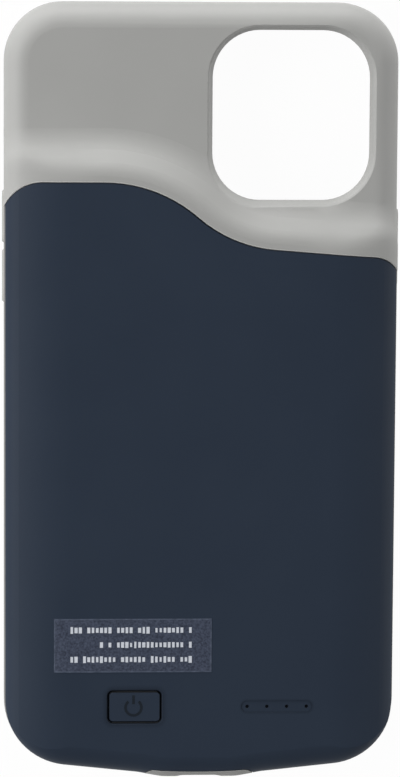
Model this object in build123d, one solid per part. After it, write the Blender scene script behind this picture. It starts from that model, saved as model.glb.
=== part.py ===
from build123d import *

import os
from math import asin, cos, degrees, radians, sin, tan

# Battery charging case for a 6.1 inch phone. It lies on its front rim with its back up.
# Millimetres. +Z comes up out of the back, +Y points to the case's top, +X to the right seen from the back.
# The origin is at the middle of the outline, on the plane that the front rim rests on.

# Phone that the case takes
PHONE_WIDTH = 71.5
PHONE_LENGTH = 146.7
PHONE_THICKNESS = 7.4
PHONE_GAP = 0.2  # all round the phone
PHONE_HEADROOM = 0.2  # between the phone and the back
BAY_CORNER_R = 10.0

# Soft frame
SIDE_WALL = 3.3
TOP_WALL = 2.3
CHIN = 6.1
BACK_WALL = 2.4
LIP_HEIGHT = 1.0
LIP_OVERHANG = 1.3
TOP_CORNER_R = 11.7
BOTTOM_CORNER_R = 13.4
EDGE_R = 4.8  # rounding of the back's edge
RIM_BEVEL = 0.6  # along the front rim
CHIN_FALL = 6.0  # degrees, slope of the chin's edge down to the sill
SILL_FLAT_HALF = 7.5  # the sill is the low middle of the chin
SILL_HALF = 12.4
SILL_DROP = 0.9
SILL_BLEND_R = 9.0

# Camera opening, measured at the bay side
OPENING_WIDTH = 31.25
OPENING_LENGTH = 33.7
OPENING_CORNER_R = 9.4
OPENING_FROM_SIDE = 5.87  # from the right side of the case
OPENING_FROM_TOP = 5.23
OPENING_BEVEL = 0.9
OPENING_EDGE_BEVEL = 0.25

# Seam between the grey frame and the back shell, an S curve below the opening
SEAM_BELOW_OPENING = 8.76  # at the middle of the S's low bend
SEAM_RISE = 12.6  # from the low bend up to the crest
SEAM_BEND_X = 5.9
SEAM_CREST_X = -8.9
SEAM_FALL = 4.5  # degrees, slope of the low branch
SEAM_CREST_R = 28.5
SEAM_BEND_R = 26.5
SEAM_LEFT_R = 8.5
SEAM_RIGHT_R = 6.0
SEAM_OVER = 0.7  # how far past the side the seam's corner arcs end
SEAM_GAP = 0.15
SEAM_BEVEL = 0.15  # width and depth of the step that breaks both edges of the seam

# Ramp from the thin back up to the hump
RAMP_ANGLE = 36.0
RAMP_FROM_SEAM = 2.7
RAMP_HEAD_R = 4.5
RAMP_FOOT_R = 7.0
RAMP_ROUND_SHARE = 0.95  # most of the ramp's height that its two roundings may take
SHOULDER_WIDTH = 13.0  # each side of the hump falls away in a wide arc, then in a tighter one
SHOULDER_R = 29.0
SHOULDER_EDGE = 3.0  # width of the tighter arc
SHOULDER_EDGE_R = 4.8

# Key covers and cut-outs in the side walls
COVER_PROUD = 0.35
COVER_HEIGHT = 3.0
COVER_BEVEL = 0.4
COVER_POCKET = 0.9
VOLUME_COVER_LENGTH = 10.8
VOLUME_COVER_FROM_TOP = (42.6, 54.5)
SIDE_COVER_LENGTH = 16.0
SIDE_COVER_FROM_TOP = 48.7
MUTE_SLOT_LENGTH = 11.0
MUTE_SLOT_HEIGHT = 5.0
MUTE_SLOT_FROM_TOP = 28.8
SOUND_SLOT_LENGTH = 13.0
SOUND_SLOT_WIDTH = 2.2
SOUND_SLOT_X = 20.0
SOUND_SLOT_DEPTH = 5.0
SOUND_WALL = 1.5
SOUND_WINDOW_SILL = 1.6

# Back shell
SHELL_WALL = 1.2
SHELL_STEP = 0.3  # the shell stands this far inside the frame's outline
NOTCH_HALF = 11.3  # notch of the shell over the sill
NOTCH_SIDE = 2.2
NOTCH_MID = 1.7
NOTCH_CORNER_R = 2.2
SHELL_LIP = 2.2  # depth of the shell's edge under its roof, along the seam
SHOULDER_WALL = 0.9  # shell under the shoulders
SHELL_INNER_BEVEL = 2.4  # inside the shell's rounded edge
FIT = 0.1

# Inner tray
TRAY_THICKNESS = 0.9
TRAY_REACH = 3.0  # the tray runs this far past the seam, under the frame
RIB_THICKNESS = 1.0
RIB_HEIGHT = 1.5
SNAP_LENGTH = 5.6
SNAP_HEIGHT = 0.8
SNAP_PROUD = 0.35
SNAP_FROM_TOP = (57.5, 84.0, 110.5, 131.0)
SNAP_WINDOW_GAP = 0.3

# Battery cell and what holds it
CELL_SIDE_MARGIN = 6.25  # from the case's side, so that the shoulder's wall clears the cell
CELL_THICKNESS = 3.6
CELL_EDGE_R = 1.1
CELL_SEAM_MARGIN = 2.6
CELL_TERRACE = 4.0
CELL_TERRACE_THICKNESS = 1.0
TAPE_THICKNESS = 0.15
TAPE_WIDTH = 12.0
TAPE_X = 20.0
TAPE_END_GAP = 4.0
FOAM_THICKNESS = 0.55
FOAM_WIDTH = 30.0
FOAM_LENGTH = 48.0
STRIP_LENGTH = 46.0
STRIP_WIDTH = 3.0
STRIP_THICKNESS = 0.8
LEAD_WIDTH = 3.0
LEAD_THICKNESS = 0.2
LEAD_X = 16.0
LEAD_LAP = 2.0

# Main board
BOARD_LENGTH = 25.6  # from the case's bottom edge to the board's upper edge
BOARD_THICKNESS = 0.8
BOARD_EDGE_GAP = 0.4
STANDOFF = 0.5
STANDOFF_D = 4.0
CELL_BOARD_GAP = 1.2
SCREW_X = 27.5
SCREW_FROM_BOTTOM = 18.5
SCREW_D = 1.4
SCREW_HEAD_D = 2.8
SCREW_HEAD_HEIGHT = 0.7
SCREW_GAP = 0.05
SCREW_BITE = 1.15  # length of the shank in the tray
DRIVE_D = 1.2
DRIVE_DEPTH = 0.35

# Charge socket
SOCKET_WIDTH = 9.0
SOCKET_HEIGHT = 3.2
SOCKET_LENGTH = 7.3
SOCKET_WALL = 0.3
SOCKET_SINK = 0.3  # into the tray's relief
SOCKET_SETBACK = 0.4  # behind the shell's face
SOCKET_GAP = 0.2
SOCKET_TAB_LENGTH = 1.5
SOCKET_TAB_REACH = 1.1
SOCKET_TAB_FROM_BACK = (0.5, 3.0)
TONGUE_WIDTH = 6.7
TONGUE_THICKNESS = 0.7
TONGUE_LENGTH = 4.4
TONGUE_BLOCK = 1.4

# Power key and its switch
KEY_X = -13.1
KEY_FROM_BOTTOM = 15.15  # row of the key and the indicator holes
KEY_WIDTH = 10.2
KEY_LENGTH = 6.0
KEY_CORNER_R = 0.8
KEY_GAP = 0.3
KEY_WINDOW_BEVEL = 0.25
KEY_BEVEL = 0.15
KEY_FLANGE = 0.8
KEY_FLANGE_THICKNESS = 0.6
KEY_FLANGE_GAP = 0.1
KEY_POST_D = 3.2
KEY_TRAVEL = 0.3
SWITCH_SIDE = 4.5
SWITCH_HEIGHT = 1.5
STEM_D = 2.4
STEM_PROUD = 0.4
STEM_LENGTH = 1.0
STEM_GAP = 0.1

# Indicator lamps and light guide
LAMP_X = 9.5  # first hole
LAMP_PITCH = 3.97
LAMP_COUNT = 4
LAMP_HOLE_D = 0.7
LAMP_STRIP_LENGTH = 14.3
LAMP_STRIP_WIDTH = 2.4
LAMP_STRIP_DEPTH = 0.08
LAMP_LENGTH = 1.6
LAMP_WIDTH = 0.8
LAMP_HEIGHT = 0.6
GUIDE_THICKNESS = 1.0
GUIDE_WIDTH = 2.2
GUIDE_END = 1.2  # past the outer pips
PIP_GAP = 0.04
PIP_SINK = 0.2
SHIELD_BORDER = 0.6
SHIELD_WINDOW_GAP = 0.3

# Chips and coil on the board, each by its place from the board's upper edge
CHIP_SIDE = 4.0
CHIP_HEIGHT = 0.8
CHIP_X = -3.0
CHIP_FROM_EDGE = 4.6
COIL_SIDE = 4.4
COIL_HEIGHT = 2.0
COIL_CORNER_R = 0.9
COIL_X = 4.6
CAPACITOR_LENGTH = 2.0
CAPACITOR_WIDTH = 1.25
CAPACITOR_HEIGHT = 1.1
CAPACITOR_PITCH = 2.6
CAPACITOR_COUNT = 3
CAPACITOR_BAND = 0.4
CAPACITOR_SKIN = 0.08

# Phone plug in the chin
PLUG_WIDTH = 6.7
PLUG_THICKNESS = 1.5
PLUG_REACH = 6.6
PLUG_TIP_BEVEL = 0.45
PLUG_NOTCH_DEPTH = 0.4
PLUG_NOTCH_LENGTH = 1.1
PLUG_NOTCH_FROM_TIP = 4.2
PLUG_GAP = 0.1
CONTACT_COUNT = 8
CONTACT_WIDTH = 0.38
CONTACT_PITCH = 0.66
CONTACT_LENGTH = 2.6
CONTACT_DEPTH = 0.12
CONTACT_FROM_TIP = 1.0
CHIN_WALL = 1.0  # between the plug's pocket and the bay
CHIN_POCKET_LENGTH = 3.1
CHIN_FLOOR = 1.6
PLUG_BOARD_WIDTH = 20.0
PLUG_BOARD_THICKNESS = 0.8
SEAT_WIDTH = 11.0
SEAT_COVER = 1.5  # seat above the plug board
SEAT_GAP = 0.05
ROOT_LENGTH = 0.9  # plug behind the chin's wall
FLEX_X = 8.0
FLEX_WIDTH = 3.0
FLEX_THICKNESS = 0.2
FLEX_BEND_R = 0.4
FLEX_FOOT = 2.0
FLEX_LAP = 2.4
FLEX_FROM_POCKET = 2.8
FLEX_SLOT_GAP = 0.3

# Sizes and levels that follow from those above
BAY_WIDTH = PHONE_WIDTH + 2 * PHONE_GAP
BAY_LENGTH = PHONE_LENGTH + 2 * PHONE_GAP
CASE_WIDTH = BAY_WIDTH + 2 * SIDE_WALL
CASE_LENGTH = BAY_LENGTH + TOP_WALL + CHIN
HALF_WIDTH = CASE_WIDTH / 2
TOP_Y = CASE_LENGTH / 2
BOTTOM_Y = -CASE_LENGTH / 2
BAY_LOW_Y = BOTTOM_Y + CHIN
BAY_MID_Y = BAY_LOW_Y + BAY_LENGTH / 2
PHONE_MID_Z = LIP_HEIGHT + PHONE_THICKNESS / 2
PART_Z = LIP_HEIGHT + PHONE_THICKNESS + PHONE_HEADROOM  # the tray and the shell sit on the frame here
THIN_Z = PART_Z + BACK_WALL
TRAY_Z = PART_Z + TRAY_THICKNESS
CELL_Z = TRAY_Z + TAPE_THICKNESS
ROOF_Z = CELL_Z + CELL_THICKNESS + FOAM_THICKNESS
HUMP_Z = ROOF_Z + SHELL_WALL
BOARD_Z = TRAY_Z + STANDOFF
BOARD_TOP_Z = BOARD_Z + BOARD_THICKNESS
BOARD_TOP_Y = BOTTOM_Y + BOARD_LENGTH
TRAY_INSET = SHELL_WALL + FIT
KEY_Y = BOTTOM_Y + KEY_FROM_BOTTOM
SWITCH_Z = BOARD_TOP_Z + SWITCH_HEIGHT
STEM_Z = SWITCH_Z + STEM_PROUD
OPENING_X = HALF_WIDTH - OPENING_FROM_SIDE - OPENING_WIDTH / 2
OPENING_Y = TOP_Y - OPENING_FROM_TOP - OPENING_LENGTH / 2
SEAM_LOW_Y = OPENING_Y - OPENING_LENGTH / 2 - SEAM_BELOW_OPENING
CELL_TOP_Y = SEAM_LOW_Y - (HALF_WIDTH - SEAM_BEND_X) * tan(radians(SEAM_FALL)) - CELL_SEAM_MARGIN
CELL_LOW_Y = BOARD_TOP_Y + CELL_BOARD_GAP + CELL_TERRACE
CELL_LENGTH = CELL_TOP_Y - CELL_LOW_Y
CELL_MID_Y = CELL_LOW_Y + CELL_LENGTH / 2
CELL_WIDTH = CASE_WIDTH - 2 * CELL_SIDE_MARGIN
STRIP_Y = CELL_LOW_Y - CELL_TERRACE / 2
STRIP_Z = CELL_Z + CELL_TERRACE_THICKNESS
CHIP_Y = BOARD_TOP_Y - CHIP_FROM_EDGE
SOCKET_FRONT_Y = BOTTOM_Y + NOTCH_MID + SOCKET_SETBACK
SOCKET_BACK_Y = SOCKET_FRONT_Y + SOCKET_LENGTH
SOCKET_LOW_Z = TRAY_Z - SOCKET_SINK
SOCKET_Z = SOCKET_LOW_Z + SOCKET_HEIGHT / 2
POCKET_FRONT_Y = BAY_LOW_Y - CHIN_WALL
POCKET_BACK_Y = POCKET_FRONT_Y - CHIN_POCKET_LENGTH
PLUG_TIP_Y = BAY_LOW_Y + PLUG_REACH
PLUG_ROOT_Y = POCKET_FRONT_Y - ROOT_LENGTH
PLUG_BOARD_Z = PHONE_MID_Z - PLUG_BOARD_THICKNESS / 2
PLUG_BOARD_LENGTH = PLUG_ROOT_Y - POCKET_BACK_Y - PLUG_GAP
PLUG_BOARD_Y = PLUG_ROOT_Y - PLUG_BOARD_LENGTH / 2
FLEX_Y = POCKET_BACK_Y + FLEX_FROM_POCKET
KEY_COVERS = (  # side, distance from the top, length
    (-1, VOLUME_COVER_FROM_TOP[0], VOLUME_COVER_LENGTH),
    (-1, VOLUME_COVER_FROM_TOP[1], VOLUME_COVER_LENGTH),
    (1, SIDE_COVER_FROM_TOP, SIDE_COVER_LENGTH),
)

# Construction aids
OVERSHOOT = 1.0  # how far a cutter runs past the face that it opens
BEYOND = 60.0  # past the case on both sides
FAR_Y = CASE_LENGTH + BEYOND
NEAR = 1e-3  # what lies closer than this touches


def block(plan, low, high):
    """Plan face made solid from one level up to another."""
    return Pos(0, 0, low) * extrude(plan, amount=high - low)


def cuboid(x, y, low, width, length, height):
    """Block centred in plan on a point, standing on a level."""
    return block(Pos(x, y) * Rectangle(width, length), low, low + height)


# Plan shapes

def case_outline(inset=0.0):
    """Outline of the case seen from the back, moved inwards by inset."""
    half = HALF_WIDTH - inset
    top = TOP_Y - inset
    low = BOTTOM_Y + inset
    shoulder = low + SILL_DROP
    corner = shoulder + (half - SILL_HALF) * tan(radians(CHIN_FALL))
    right = [(SILL_FLAT_HALF, low), (SILL_HALF, shoulder), (half, corner), (half, top)]
    left = [(-x, y) for x, y in reversed(right)]
    plan = make_face(Polyline(*right, *left, close=True).edges())
    rounds = (
        (top, TOP_CORNER_R - inset),
        (corner, BOTTOM_CORNER_R - inset),
        (shoulder, SILL_BLEND_R),
        (low, SILL_BLEND_R),
    )
    for level, radius in rounds:
        plan = fillet(plan.vertices().filter_by(lambda v: abs(v.Y - level) < NEAR), radius)
    return plan


def seam_corners(shift, reach):
    """Corner points of the seam's S, moved towards the top by shift, with ends at plus and minus reach."""
    fall = tan(radians(SEAM_FALL))
    crest_y = SEAM_LOW_Y + SEAM_RISE
    points = [
        Vector(-reach, crest_y),
        Vector(SEAM_CREST_X, crest_y),
        Vector(SEAM_BEND_X, SEAM_LOW_Y),
        Vector(reach, SEAM_LOW_Y - (reach - SEAM_BEND_X) * fall),
    ]
    runs = [(b - a).normalized() for a, b in zip(points, points[1:])]
    normals = [Vector(-run.Y, run.X) for run in runs]
    moved = [points[0] + normals[0] * shift]
    for point, before, after in zip(points[1:], normals, normals[1:]):
        moved.append(point + (before + after) * (shift / (1 + before.dot(after))))
    bend = moved[-1]
    moved.append(Vector(reach, bend.Y - (reach - bend.X) * fall))
    return moved


def below_seam(shift, reach=BEYOND):
    """Everything below the seam's S moved by shift, out to plus and minus reach."""
    corners = seam_corners(shift, reach)
    curve = FilletPolyline(*corners, radius=[SEAM_CREST_R + shift, SEAM_BEND_R - shift])
    rest = Polyline(corners[-1], (reach, -FAR_Y), (-reach, -FAR_Y), corners[0])
    return make_face(curve.edges() + rest.edges())


def shell_field(shift):
    """Part of the back that the shell takes: below the seam, which turns down at both sides."""
    reach = HALF_WIDTH + SEAM_OVER + shift
    plan = below_seam(shift, reach)
    for side, radius in ((-1, SEAM_LEFT_R), (1, SEAM_RIGHT_R)):
        end = plan.vertices().filter_by(lambda v: abs(v.X - side * reach) < NEAR and v.Y > BOTTOM_Y)
        plan = fillet(end, radius + shift)
    return plan


def sill_notch(inset):
    """Notch over the sill, where the frame's tongue shows below the shell: two lobes with a low middle."""
    half = NOTCH_HALF + inset
    side = BOTTOM_Y + NOTCH_SIDE + inset
    edge = ThreePointArc((-half, side), (0, BOTTOM_Y + NOTCH_MID + inset), (half, side))
    rest = Polyline((half, side), (half, -FAR_Y), (-half, -FAR_Y), (-half, side))
    plan = make_face(edge.edges() + rest.edges())
    return fillet(plan.vertices().filter_by(lambda v: v.Y > BOTTOM_Y), NOTCH_CORNER_R)


def shell_plan(inset):
    """Shell's outline without its seam, moved inwards by inset."""
    return case_outline(SHELL_STEP + inset) - sill_notch(inset)


def tray_plan(grow=0.0):
    """Inner tray's outline, which runs past the seam under the frame."""
    return shell_plan(TRAY_INSET - grow) & below_seam(TRAY_REACH + grow)


# The back's outer form

def shoulders(inset=0.0):
    """Bar along Y that bounds the hump: flat, with two tangent arcs down each side, moved inwards by inset."""
    turn = asin((SHOULDER_WIDTH - SHOULDER_EDGE) / SHOULDER_R)
    wide_centre = (HALF_WIDTH - SHOULDER_WIDTH, HUMP_Z - SHOULDER_R)
    step = SHOULDER_R - SHOULDER_EDGE_R
    edge_centre = (wide_centre[0] + step * sin(turn), wide_centre[1] + step * cos(turn))
    wide = CenterArc(wide_centre, SHOULDER_R - inset, 90, -degrees(turn))
    edge = CenterArc(edge_centre, SHOULDER_EDGE_R - inset, 90 - degrees(turn), degrees(turn) - 90)
    top = Line((0, HUMP_Z - inset), wide @ 0)
    rest = Polyline(edge @ 1, ((edge @ 1).X, 0), (0, 0), (0, HUMP_Z - inset))
    half = make_face(top.edges() + wide.edges() + edge.edges() + rest.edges())
    return extrude(Plane.XZ * (half + mirror(half, Plane.YZ)), amount=FAR_Y, both=True)


def on_plan_edge(solid, plan, above):
    """Edges of a solid that run over the plan's own outline, above a level."""
    wire = plan.faces()[0].outer_wire()

    def runs_over(edge):
        middle = edge @ 0.5
        return middle.Z > above and wire.distance_to(Vertex(middle.X, middle.Y, 0)) < NEAR

    return solid.edges().filter_by(runs_over)


def seam_step(body, low, high):
    """Cutter for a shallow step in the body's surface along the seam, between two shifts of it."""
    ribbon = (shell_field(high) - shell_field(low)) & case_outline()
    ribbon &= Pos(0, FAR_Y / 2) * Rectangle(2 * FAR_Y, FAR_Y)
    return block(ribbon, PART_Z, HUMP_Z + OVERSHOOT) - Pos(0, 0, -SEAM_BEVEL) * body


def stepped_slab():
    """Slab wider than the case whose top climbs the ramp from the thin back to the hump."""
    reach = HALF_WIDTH + OVERSHOOT
    rise = HUMP_Z - THIN_Z
    foot = Pos(0, 0, THIN_Z) * below_seam(RAMP_FROM_SEAM + rise / tan(radians(RAMP_ANGLE)), reach)
    head = Pos(0, 0, HUMP_Z) * below_seam(RAMP_FROM_SEAM, reach)
    slab = block(Rectangle(2 * reach, 2 * FAR_Y), 0, THIN_Z) + loft([foot, head], ruled=True)
    room = rise / sin(radians(RAMP_ANGLE))
    wanted = (RAMP_HEAD_R + RAMP_FOOT_R) * tan(radians(RAMP_ANGLE / 2))
    ease = min(1.0, RAMP_ROUND_SHARE * room / wanted)

    def ramp_edges(level):
        def is_ramp_edge(edge):
            box = edge.bounding_box()
            at_level = abs(box.min.Z - level) < NEAR and abs(box.max.Z - level) < NEAR
            return at_level and abs(box.center().X) < reach - NEAR and abs(box.center().Y) < FAR_Y - NEAR
        return slab.edges().filter_by(is_ramp_edge)

    slab = fillet(ramp_edges(HUMP_Z), RAMP_HEAD_R * ease)
    return fillet(ramp_edges(THIN_Z), RAMP_FOOT_R * ease)


def outer_body():
    """Whole outside of the closed case, frame and shell together, as one solid."""
    plan = case_outline()
    body = stepped_slab() & block(plan, 0, HUMP_Z + OVERSHOOT)
    body = fillet(on_plan_edge(body, plan, PART_Z), EDGE_R)
    rim = body.edges().filter_by(lambda e: e.bounding_box().max.Z < NEAR)
    return chamfer(rim, RIM_BEVEL) & shoulders()


# Grey pieces

def camera_opening():
    """Cutter for the camera opening, wider towards the back."""
    spread = OPENING_BEVEL * (HUMP_Z - PART_Z) / BACK_WALL
    low = RectangleRounded(OPENING_WIDTH, OPENING_LENGTH, OPENING_CORNER_R)
    high_width = OPENING_WIDTH + 2 * spread
    high = RectangleRounded(high_width, OPENING_LENGTH + 2 * spread, OPENING_CORNER_R + spread)
    place = Pos(OPENING_X, OPENING_Y)
    cutter = loft([Pos(0, 0, PART_Z) * place * low, Pos(0, 0, HUMP_Z) * place * high], ruled=True)
    return cutter + block(place * low, PHONE_MID_Z, PART_Z)


def opening_edges(frame, opening):
    """Upper edges that the camera opening's cutter left."""

    def is_upper(edge):
        middle = edge @ 0.5
        return middle.Z > THIN_Z - NEAR and opening.distance_to(Vertex(middle)) < NEAR

    return frame.edges().filter_by(is_upper)


def key_cover(side, from_top, length):
    """Raised cover on a side wall, over one of the phone's keys."""
    middle = (side * (HALF_WIDTH - COVER_BEVEL), TOP_Y - from_top, PHONE_MID_Z)
    wall = Plane(origin=middle, x_dir=(0, 1, 0), z_dir=(side, 0, 0))
    pad = extrude(wall * SlotOverall(length, COVER_HEIGHT), amount=COVER_BEVEL + COVER_PROUD)
    outer = pad.faces().sort_by(Axis.X)[-1 if side > 0 else 0]
    return chamfer(outer.edges(), COVER_BEVEL)


def key_pocket(side, from_top, length):
    """Room on the bay's side for one of the phone's keys."""
    depth = COVER_POCKET + PHONE_GAP
    x = side * (BAY_WIDTH / 2 + COVER_POCKET - depth / 2)
    height = COVER_HEIGHT - 2 * COVER_BEVEL
    return cuboid(x, TOP_Y - from_top, PHONE_MID_Z - height / 2, depth, length, height)


def mute_slot():
    """Slot through the left wall at the phone's mute switch."""
    middle = (-HALF_WIDTH, TOP_Y - MUTE_SLOT_FROM_TOP, PHONE_MID_Z)
    wall = Plane(origin=middle, x_dir=(0, 1, 0), z_dir=(-1, 0, 0))
    return extrude(wall * SlotOverall(MUTE_SLOT_LENGTH, MUTE_SLOT_HEIGHT), amount=2 * SIDE_WALL, both=True)


def sound_slot(x):
    """Channel in the chin that turns the phone's sound to the front."""
    y = BAY_LOW_Y - SOUND_WALL - SOUND_SLOT_WIDTH / 2
    slot = Pos(x, y) * SlotOverall(SOUND_SLOT_LENGTH, SOUND_SLOT_WIDTH)
    channel = block(slot, -OVERSHOOT, SOUND_SLOT_DEPTH)
    low = LIP_HEIGHT + SOUND_WINDOW_SILL
    length = SOUND_WALL + SOUND_SLOT_WIDTH / 2
    width = SOUND_SLOT_LENGTH - SOUND_SLOT_WIDTH
    return channel + cuboid(x, y + length / 2, low, width, length, SOUND_SLOT_DEPTH - low)


def plug_pocket():
    """Pocket in the chin for the plug's seat, with the plug's way through to the bay."""
    y = POCKET_FRONT_Y - CHIN_POCKET_LENGTH / 2
    width = PLUG_BOARD_WIDTH + 2 * PLUG_GAP
    pocket = cuboid(0, y, CHIN_FLOOR, width, CHIN_POCKET_LENGTH, PART_Z - CHIN_FLOOR)
    return pocket + plug_section(PLUG_GAP, POCKET_FRONT_Y - PLUG_GAP, BAY_LOW_Y + PLUG_GAP)


def plug_section(grow, low_y, high_y):
    """Bar of the plug's section between two places along Y."""
    plane = Plane(origin=(0, low_y, PHONE_MID_Z), x_dir=(1, 0, 0), z_dir=(0, 1, 0))
    section = SlotOverall(PLUG_WIDTH + 2 * grow, PLUG_THICKNESS + 2 * grow)
    return extrude(plane * section, amount=high_y - low_y)


def soft_frame(body):
    """Grey bumper in one moulding: rim, walls, chin with a tongue, thin upper back, ramp to the seam."""
    frame = body - block(shell_field(0) - sill_notch(-SEAM_GAP), PART_Z, HUMP_Z + OVERSHOOT)
    frame -= seam_step(body, 0, SEAM_BEVEL)
    frame -= socket_bar(SOCKET_GAP, BOTTOM_Y - OVERSHOOT, SOCKET_BACK_Y)

    bay = Pos(0, BAY_MID_Y) * RectangleRounded(BAY_WIDTH, BAY_LENGTH, BAY_CORNER_R)
    mouth = Pos(0, BAY_MID_Y) * RectangleRounded(
        BAY_WIDTH - 2 * LIP_OVERHANG, BAY_LENGTH - 2 * LIP_OVERHANG, BAY_CORNER_R - LIP_OVERHANG)
    frame -= block(bay, LIP_HEIGHT, PART_Z)
    frame -= block(mouth, -OVERSHOOT, LIP_HEIGHT)
    frame -= block(tray_plan(FIT), PART_Z, TRAY_Z + RIB_HEIGHT + FIT)
    opening = camera_opening()
    frame -= opening
    frame = chamfer(opening_edges(frame, opening), OPENING_EDGE_BEVEL)
    frame -= plug_pocket()
    frame -= mute_slot()
    for side in (-1, 1):
        frame -= sound_slot(side * SOUND_SLOT_X)
    for side, from_top, length in KEY_COVERS:
        frame += key_cover(side, from_top, length)
        frame -= key_pocket(side, from_top, length)
    return frame


def inner_tray():
    """Stiff plate under the cell and the board, with a rib all round and bosses for the board's screws."""
    tray = block(tray_plan(), PART_Z, TRAY_Z)
    inside = shell_plan(TRAY_INSET + RIB_THICKNESS) & below_seam(TRAY_REACH - RIB_THICKNESS)
    tray += block(tray_plan() - inside, TRAY_Z, TRAY_Z + RIB_HEIGHT)
    for x, y in screw_places():
        tray += block(Pos(x, y) * Circle(STANDOFF_D / 2), TRAY_Z, BOARD_Z)
        tray -= block(Pos(x, y) * Circle(SCREW_D / 2 + SCREW_GAP), BOARD_Z - SCREW_BITE - SCREW_GAP, BOARD_Z)
    for side in (-1, 1):
        for from_top in SNAP_FROM_TOP:
            tray -= snap(side, from_top, SNAP_WINDOW_GAP, RIB_THICKNESS + FIT)
    relief_width = SOCKET_WIDTH + 2 * SOCKET_GAP
    relief_length = SOCKET_BACK_Y + SOCKET_GAP - BOTTOM_Y
    relief_y = BOTTOM_Y + relief_length / 2
    tray -= cuboid(0, relief_y, SOCKET_LOW_Z - FIT, relief_width, relief_length, SOCKET_HEIGHT)
    slot_width = FLEX_WIDTH + 2 * FLEX_SLOT_GAP
    slot_length = FLEX_THICKNESS + 2 * FLEX_SLOT_GAP
    tray -= cuboid(FLEX_X, FLEX_Y, PART_Z, slot_width, slot_length, TRAY_THICKNESS)
    return tray


def snap(side, from_top, grow, depth):
    """Bump inside the shell's side wall, or with grow the window for it in the tray's rib."""
    face_x = HALF_WIDTH - SHELL_STEP - SHELL_WALL
    height = SNAP_HEIGHT + 2 * grow
    low = TRAY_Z + RIB_HEIGHT / 2 - height / 2
    x = side * (face_x + FIT - depth / 2)
    return cuboid(x, TOP_Y - from_top, low, depth + 2 * FIT, SNAP_LENGTH + 2 * grow, height)


# Back shell and power key

def shell_hollow():
    """Inside of the back shell, open below."""
    low = block(shell_plan(SHELL_WALL) & below_seam(SHELL_WALL), PART_Z, ROOF_Z - SHELL_LIP)
    sill = BOTTOM_Y + NOTCH_SIDE + SHELL_WALL
    plan = case_outline(SHELL_STEP + SHELL_WALL) & below_seam(-SEAM_GAP - SHELL_WALL)
    plan &= Pos(0, sill + FAR_Y / 2) * Rectangle(CASE_WIDTH, FAR_Y)
    plan = fillet(plan.vertices().filter_by(lambda v: abs(v.Y - sill) < NEAR), SILL_BLEND_R)
    side_x = HALF_WIDTH - SHELL_STEP - SHELL_WALL
    for side, radius in ((-1, SEAM_LEFT_R), (1, SEAM_RIGHT_R)):
        upper = plan.vertices().filter_by(lambda v: v.Y > 0 and abs(v.X - side * side_x) < NEAR)
        plan = fillet(upper, radius)
    high = block(plan, PART_Z, ROOF_Z)
    high = chamfer(high.faces().sort_by(Axis.Z)[-1].edges(), SHELL_INNER_BEVEL)
    return (low + high) & shoulders(SHOULDER_WALL)


def back_shell(body):
    """Dark soft-touch shell over the battery, with windows for the key and the socket and the lamp holes."""
    shell = body & block(shell_plan(0) & shell_field(-SEAM_GAP), PART_Z, HUMP_Z + OVERSHOOT)
    shell -= seam_step(body, -SEAM_GAP - SEAM_BEVEL, -SEAM_GAP)
    shell -= shell_hollow()
    for side in (-1, 1):
        for from_top in SNAP_FROM_TOP:
            shell += snap(side, from_top, 0, SNAP_PROUD)
    window = RectangleRounded(KEY_WIDTH + 2 * KEY_GAP, KEY_LENGTH + 2 * KEY_GAP, KEY_CORNER_R + KEY_GAP)
    window = Pos(KEY_X, KEY_Y) * window
    shell -= block(window, ROOF_Z - FIT, HUMP_Z + OVERSHOOT)
    shell = chamfer(on_plan_edge(shell, window, HUMP_Z - NEAR), KEY_WINDOW_BEVEL)
    strip = Pos(lamp_middle_x(), KEY_Y) * SlotOverall(LAMP_STRIP_LENGTH, LAMP_STRIP_WIDTH)
    shell -= block(strip, HUMP_Z - LAMP_STRIP_DEPTH, HUMP_Z + OVERSHOOT)
    for x in lamp_places():
        shell -= block(Pos(x, KEY_Y) * Circle(LAMP_HOLE_D / 2), ROOF_Z - FIT, HUMP_Z + OVERSHOOT)
    return shell - socket_bar(SOCKET_GAP, BOTTOM_Y - OVERSHOOT, SOCKET_BACK_Y)


def power_key():
    """Key cap flush with the shell, with a flange under the shell's roof and a post on the switch's stem."""
    flange_z = ROOF_Z - KEY_FLANGE_GAP
    cap = block(Pos(KEY_X, KEY_Y) * RectangleRounded(KEY_WIDTH, KEY_LENGTH, KEY_CORNER_R), flange_z, HUMP_Z)
    cap = chamfer(cap.faces().sort_by(Axis.Z)[-1].edges(), KEY_BEVEL)
    rim = RectangleRounded(KEY_WIDTH + 2 * KEY_FLANGE, KEY_LENGTH + 2 * KEY_FLANGE, KEY_CORNER_R)
    key = cap + block(Pos(KEY_X, KEY_Y) * rim, flange_z - KEY_FLANGE_THICKNESS, flange_z)
    return key + block(Pos(KEY_X, KEY_Y) * Circle(KEY_POST_D / 2), STEM_Z, flange_z - KEY_FLANGE_THICKNESS)


def switch_stem():
    """Round stem of the key's switch."""
    return block(Pos(KEY_X, KEY_Y) * Circle(STEM_D / 2), STEM_Z - STEM_LENGTH, STEM_Z)


def key_switch():
    """Switch body on the board, with the stem's bore."""
    body = cuboid(KEY_X, KEY_Y, BOARD_TOP_Z, SWITCH_SIDE, SWITCH_SIDE, SWITCH_HEIGHT)
    low = STEM_Z - STEM_LENGTH - KEY_TRAVEL - STEM_GAP
    return body - block(Pos(KEY_X, KEY_Y) * Circle(STEM_D / 2 + STEM_GAP), low, SWITCH_Z)


# Lamps

def lamp_places():
    """X of each lamp, in its row."""
    return [LAMP_X + i * LAMP_PITCH for i in range(LAMP_COUNT)]


def lamp_middle_x():
    """X of the middle of the row of lamps."""
    return LAMP_X + (LAMP_COUNT - 1) * LAMP_PITCH / 2


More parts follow.
